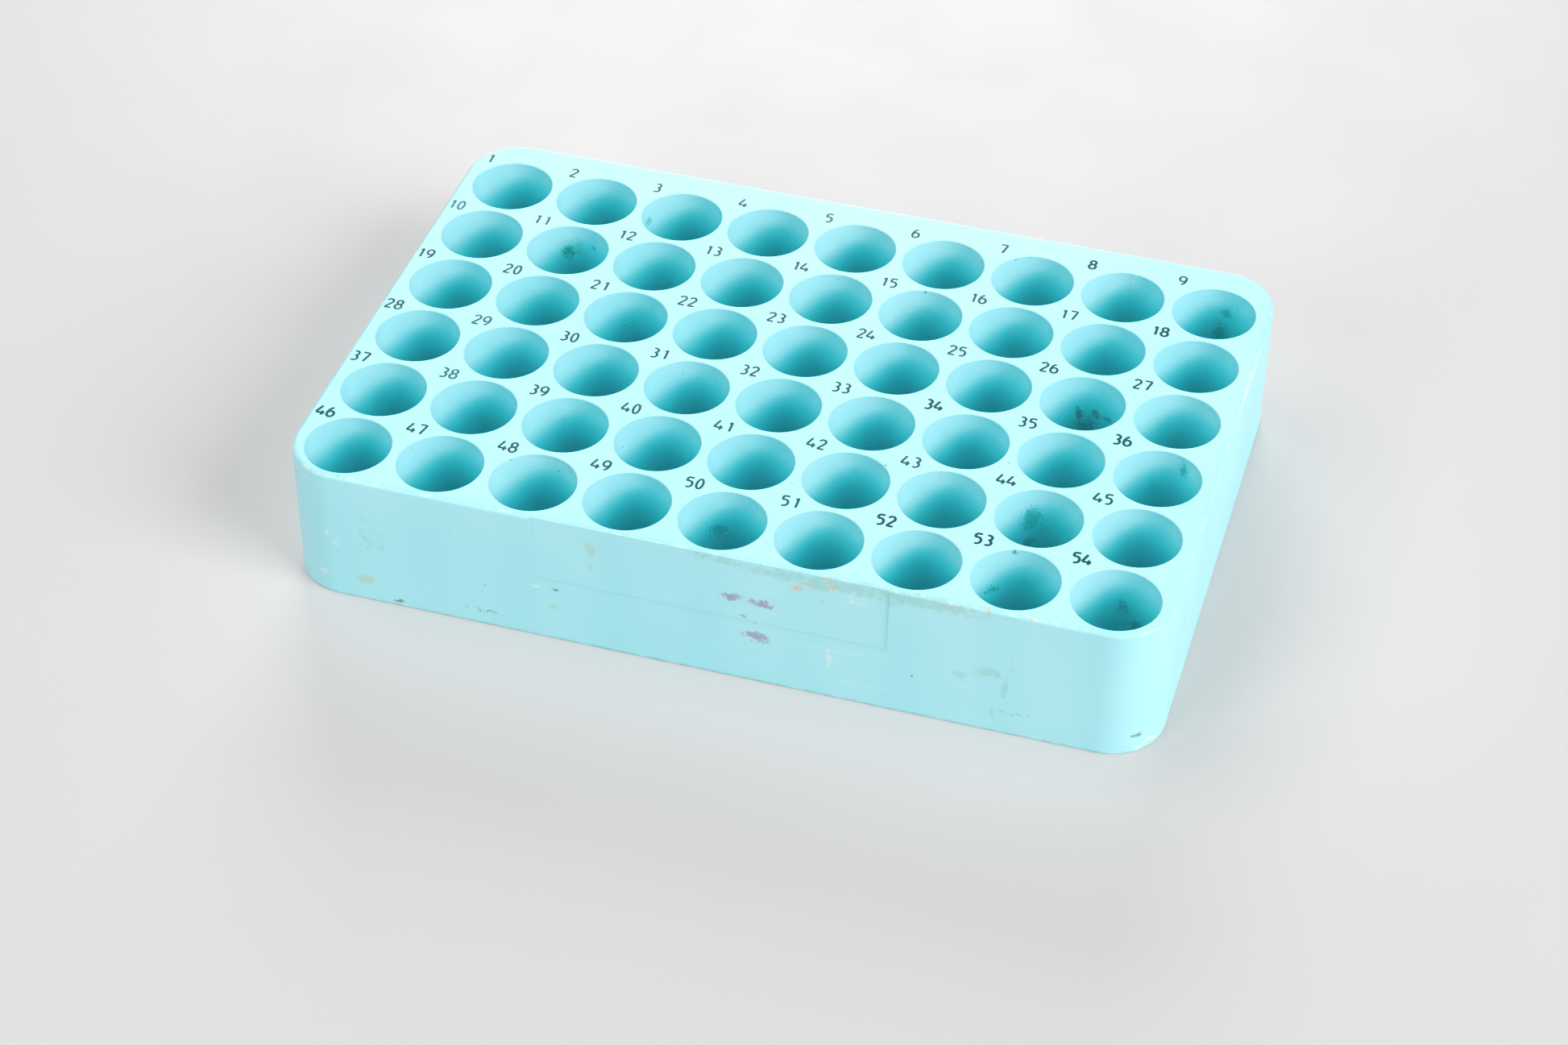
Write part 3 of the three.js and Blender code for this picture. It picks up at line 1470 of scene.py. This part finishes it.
class Studio:
    """The camera, lights and table."""

    lights = (
        SoftLight("key_right", 70.0, 34.0, 1.6, 0.9, 25.5),
        SoftLight("right_fill", 104.0, 16.0, 1.6, 1.2, 6.0),
        SoftLight("back", 196.0, 17.0, 1.6, 0.9, 18.5),
        SoftLight("top_left", 270.0, 58.0, 1.6, 1.1, 9.8),
        SoftLight("front_left", 330.0, 25.0, 1.6, 0.8, 10.3),
    )
    red_tone = ((0.035, 0.012), (0.11, 0.022), (0.175, 0.055), (0.26, 0.19), (0.38, 0.38), (0.65, 0.65))
    room_light = 0.03
    table_side = 6.0

    def build(self) -> None:
        """Add the camera, the lights and the table, and set the tone of the reds."""
        CameraRig(
            aim=Vector((4.62, -21.07, 10.98)) * MM,
            distance=487.1 * MM,
            azimuth=math.radians(16.43),
            elevation=math.radians(40.37),
            roll=math.radians(0.547),
            lens=78.24,
        ).build()
        for light in self.lights:
            light.build(Vector((0.0, 0.0, 0.0)))
        world = bpy.data.worlds.new("soft_room")
        world.use_nodes = True
        world.node_tree.nodes["Background"].inputs["Color"].default_value = opaque(1.0, 1.0, 1.0)
        world.node_tree.nodes["Background"].inputs["Strength"].default_value = self.room_light
        scene = bpy.context.scene
        scene.world = world
        scene.view_settings.view_transform = "Standard"
        scene.view_settings.use_curve_mapping = True
        curves = scene.view_settings.curve_mapping
        for shade, level in self.red_tone:
            curves.curves[0].points.new(shade, level)
        curves.update()
        bpy.ops.mesh.primitive_plane_add(size=self.table_side)
        table = Bench.added("table")
        Bench.coat(table, PaleTable().dress("pale_table"))


@dataclass
class RackGrime:
    """Where the block is stained, chipped and worn, in millimetres, and which faces wear it."""

    grid: SocketGrid
    half_length: float = 63.88
    front: float = -42.74
    corner: float = 8.1
    top: float = 22.0
    stained: tuple[int, ...] = (3, 9, 11, 15, 16, 17, 18, 26, 35, 36, 44, 50, 53, 54)
    rim_width: float = 0.3 * MM

    def dress(self, block: bpy.types.Object) -> None:
        """Give each area of the block its own material.

        Args:
            block: The bored block.
        """
        plastic = AquaPlastic()
        walls = self._edge() + self._front() + self._right()
        looks = {
            Area.PLAIN: plastic.dress("aqua_plain"),
            Area.OUTER: plastic.dress("aqua_walls", walls, outer=True),
            Area.TOP: plastic.dress("aqua_top", self._top()),
            Area.STAINED: plastic.dress("aqua_stained_sockets", self._sockets()),
        }
        block.data.materials.clear()
        for area in Area:
            block.data.materials.append(looks[area])
        for face in block.data.polygons:
            face.material_index = list(Area).index(self._area(face))

    def _area(self, face: bpy.types.MeshPolygon) -> Area:
        """Tell which area a face of the block belongs to.

        Args:
            face: The face.

        Returns:
            Its area.
        """
        reach = self.grid.radius + self.rim_width
        if face.normal.z < -0.9:
            return Area.PLAIN
        if face.normal.z > 0.99:
            return Area.TOP
        for number in self.grid.numbers():
            if (face.center - self.grid.centre(number)).xy.length < reach:
                return Area.STAINED if number in self.stained else Area.PLAIN
        return Area.OUTER

    def _on_front(
        self, kind: Grime, x: float, drop: float, wide: float, tall: float, weight: float = 1.0
    ) -> Blot:
        """A blot on the front wall or its rounded end.

        Args:
            kind: The kind of grime.
            x: How far it lies to the right of the middle.
            drop: How far it lies below the top.
            wide: Its half-width.
            tall: Its half-height.
            weight: How dense it is.

        Returns:
            The blot.
        """
        past = max(0.0, abs(x) - (self.half_length - self.corner))
        y = self.front + self.corner - math.sqrt(self.corner**2 - past**2)
        return Blot(kind, (x, y, self.top - drop), (wide, 1.2 + past * 0.2, tall), weight)

    def _edge(self) -> list[Blot]:
        """List the grime and chips along the top edge of the front wall.

        Returns:
            The blots.
        """
        film = [(18.0, 1.4, 27.0, 2.2, 0.8), (31.0, 1.0, 15.0, 1.8, 0.9), (2.0, 1.0, 9.0, 1.4, 0.7)]
        chips = [
            (12.9, 3.2, 0.9, 0.7),
            (14.5, 2.1, 0.8, 0.6),
            (17.8, 1.8, 0.9, 1.1),
            (16.7, 0.4, 1.0, 0.5),
            (16.4, 4.7, 0.5, 0.4),
            (35.4, 0.4, 0.8, 0.4),
            (36.8, 0.1, 0.6, 0.5),
            (39.7, 0.3, 0.7, 0.4),
            (45.5, 0.2, 0.6, 0.4),
        ]
        return [self._on_front(Grime.GREEN_FILM, *numbers) for numbers in film] + [
            self._on_front(Grime.TAN_CHIP, *numbers) for numbers in chips
        ]

    def _front(self) -> list[Blot]:
        """List the stains on the front wall.

        Returns:
            The blots.
        """
        kinds = {
            Grime.GREEN_FILM: [
                (36.4, 12.8, 2.0, 1.2),
                (40.5, 11.2, 2.8, 1.4),
                (43.4, 8.5, 0.8, 4.0, 0.5),
                (42.4, 13.7, 1.0, 2.4),
                (41.2, 18.2, 0.7, 2.6, 0.5),
                (-50.0, 10.0, 7.0, 9.0, 0.3),
            ],
            Grime.YELLOW_STAIN: [
                (-16.8, 4.0, 1.1, 2.0),
                (-17.0, 7.3, 0.7, 0.7),
                (-22.8, 15.7, 0.8, 0.6),
                (-51.3, 18.3, 1.8, 1.0),
            ],
            Grime.PALE_SCUFF: [
                (-25.5, 12.6, 1.4, 0.4),
                (-56.8, 10.7, 0.8, 0.5),
                (-55.5, 12.4, 0.7, 0.5),
                (-57.8, 18.2, 0.7, 0.5),
                (21.0, 3.4, 4.0, 2.2, 0.5),
                (17.7, 14.5, 0.5, 2.4),
                (62.6, 20.6, 0.8, 0.7),
                (61.6, 21.3, 1.0, 0.4),
            ],
            Grime.BROWN_SPOT: [
                (-22.5, 12.7, 0.7, 0.5),
                (29.6, 14.8, 0.4, 0.4),
                (60.9, 18.9, 0.8, 0.7),
                (44.0, 18.0, 6.5, 0.6, 0.4),
                (-33.0, 19.5, 9.0, 0.6, 0.45),
                (-46.5, 21.1, 1.2, 0.4),
            ],
            Grime.PURPLE_SMUDGE: [
                (3.4, 7.3, 2.4, 0.9),
                (7.8, 7.5, 2.6, 1.0),
                (5.2, 10.2, 2.0, 1.0, 0.5),
                (7.0, 13.6, 2.8, 1.2),
            ],
        }
        return [self._on_front(kind, *numbers) for kind, spots in kinds.items() for numbers in spots]

    def _right(self) -> list[Blot]:
        """List the scuffs and scratches on the right wall, by y, drop, half-sizes and weight.

        Returns:
            The blots.
        """
        kinds = {
            Grime.PALE_SCUFF: [
                (-8.0, 0.4, 9.0, 0.5, 0.6),
                (16.0, 0.4, 14.0, 0.5, 0.8),
                (-24.0, 20.6, 1.4, 0.9, 0.8),
            ],
            Grime.BROWN_SPOT: [
                (-26.5, 9.0, 0.25, 2.6, 0.8),
                (-23.4, 13.5, 0.2, 1.8, 0.7),
                (-17.0, 6.5, 0.2, 2.0, 0.6),
            ],
        }
        return [
            Blot(kind, (self.half_length, y, self.top - drop), (1.2, wide, tall), weight)
            for kind, rows in kinds.items()
            for y, drop, wide, tall, weight in rows
        ]

    def _top(self) -> list[Blot]:
        """List the smudges and specks on the top face, by place, half-sizes and weight.

        Returns:
            The blots.
        """
        kinds = {
            Grime.YELLOW_STAIN: [
                (-24.0, 24.7, 2.8, 2.4, 0.4),
                (-47.2, 21.7, 2.2, 0.8, 0.5),
                (-47.8, -16.0, 1.5, 1.0, 0.4),
                (-4.6, -14.3, 1.8, 1.0, 0.4),
                (-49.3, 30.2, 2.0, 1.2, 0.4),
            ],
            Grime.DARK_MOULD: [(18.6, -17.5, 0.35, 0.35, 1.0), (34.9, -12.0, 0.3, 0.3, 1.0)],
        }
        return [
            Blot(kind, (x, y, self.top), (wide, long, 0.8), weight)
            for kind, rows in kinds.items()
            for x, y, wide, long, weight in rows
        ]

    def _sockets(self) -> list[Blot]:
        """List the mould, specks and film in the sockets, by place, half-sizes and weight.

        Returns:
            The blots.
        """
        mould = [
            (-43.9, 24.0, 17.0, 2.0, 2.2, 0.8),
            (-39.7, 24.0, 18.6, 1.6, 1.2, 0.5),
            (40.3, 10.7, 15.1, 0.8, 1.6),
            (42.8, 10.8, 15.4, 1.2, 1.1),
            (44.6, 10.2, 15.1, 1.0, 0.9, 0.8),
            (40.2, -29.6, 21.3, 0.5, 0.6),
            (13.1, 24.3, 21.5, 0.4, 0.5),
            (29.5, -16.2, 21.1, 0.4, 0.5),
        ]
        specks = [
            (56.6, 37.7, 17.6, 1.0, 1.2),
            (55.9, 37.8, 13.9, 1.6, 2.4),
            (41.0, 10.8, 12.5, 3.6, 3.0, 0.8),
            (26.3, -2.7, 13.7, 2.0, 2.0),
            (28.2, -2.5, 12.8, 1.4, 1.2),
            (39.5, -16.4, 16.5, 1.8, 2.8),
            (39.3, -16.5, 12.2, 1.2, 1.2),
            (-2.5, -29.9, 14.7, 2.2, 2.2, 0.8),
            (37.5, -31.1, 15.3, 1.0, 1.2),
            (57.9, -29.8, 12.6, 1.8, 1.8),
            (55.7, -29.4, 15.4, 1.2, 1.6),
            (58.2, -3.1, 19.7, 1.0, 1.6),
            (-33.8, 33.3, 18.7, 0.8, 1.0),
        ]
        film = [
            (-43.0, 24.0, 18.0, 4.2, 4.0, 0.6),
            (13.5, -2.5, 20.0, 1.2, 1.4, 0.6),
            (41.5, -16.3, 15.0, 3.4, 5.0, 0.4),
            (41.8, -30.0, 16.0, 3.6, 5.0, 0.4),
            (41.8, 10.6, 14.0, 4.4, 4.0, 0.5),
        ]
        kinds = {
            Grime.DARK_MOULD: (mould, 1.4),
            Grime.MOULD_SPECKS: (specks, 2.0),
            Grime.GREEN_FILM: (film, 2.4),
        }
        spots = []
        for kind, (rows, deep) in kinds.items():
            for x, y, z, wide, tall, *weight in rows:
                spots.append(Blot(kind, (x, y, z), (wide, deep, tall), *weight))
        for place in ((14.6, 10.9, 14.5), (3.2, 10.0, 21.2)):
            spots.append(Blot(Grime.PALE_SCUFF, place, (0.5, 0.8, 0.5)))
        return spots


def place_on_rack(piece: bpy.types.Object, slot: str, *nodes: str) -> None:
    """Fix a finished piece to the rack and report it.

    Args:
        piece: The piece.
        slot: The record's material slot; not used.
        *nodes: The CAD nodes that it stands for.
    """
    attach(piece, BODY)
    if nodes:
        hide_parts(*nodes)
    log.info("%s: %d faces", piece.name, len(piece.data.polygons))


def main() -> None:
    """Build the rack and its stage."""
    logging.basicConfig(level=logging.INFO, format="%(name)s: %(message)s")
    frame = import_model()
    low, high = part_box("rack_block")
    plate_low, plate_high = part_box("base_plate")
    screws = sorted(name for name in frame["nodes"] if name.startswith("base_screw"))
    axes = [tuple(((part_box(name)[0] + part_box(name)[1]) / 2).xy) for name in screws]
    grid = SocketGrid(front_edge=low.y)
    face = high - Vector((0.0, 0.0, INK_THICKNESS))

    body = RackBody(low, face, grid, plate_high.z, axes).build()
    RackGrime(grid).dress(body)
    place_on_rack(body, "aqua_plastic", "rack_block")

    plate = BasePlate(plate_low, plate_high, CORNER_RADIUS - (plate_low.x - low.x), axes).build()
    Bench.coat(plate, AquaPlastic().dress("plate_plastic"))
    place_on_rack(plate, "plate_plastic", "base_plate")

    steel = Steel().dress("screw_steel")
    for name in screws:
        screw = PlateScrew(*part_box(name)).build(name.replace("base", "plate"))
        Bench.coat(screw, steel)
        place_on_rack(screw, "screw_steel", name)

    inks = {tone: tone.value.dress(f"number_ink_{tone.name.lower()}") for tone in InkTone}
    numbers = PlaceNumbers(grid, face.z, INK_THICKNESS)
    for number, piece in zip(grid.numbers(), numbers.build()):
        Bench.coat(piece, inks[numbers.tone(number)])
        place_on_rack(piece, "number_ink")

    Studio().build()


if __name__ == "__main__":
    main()
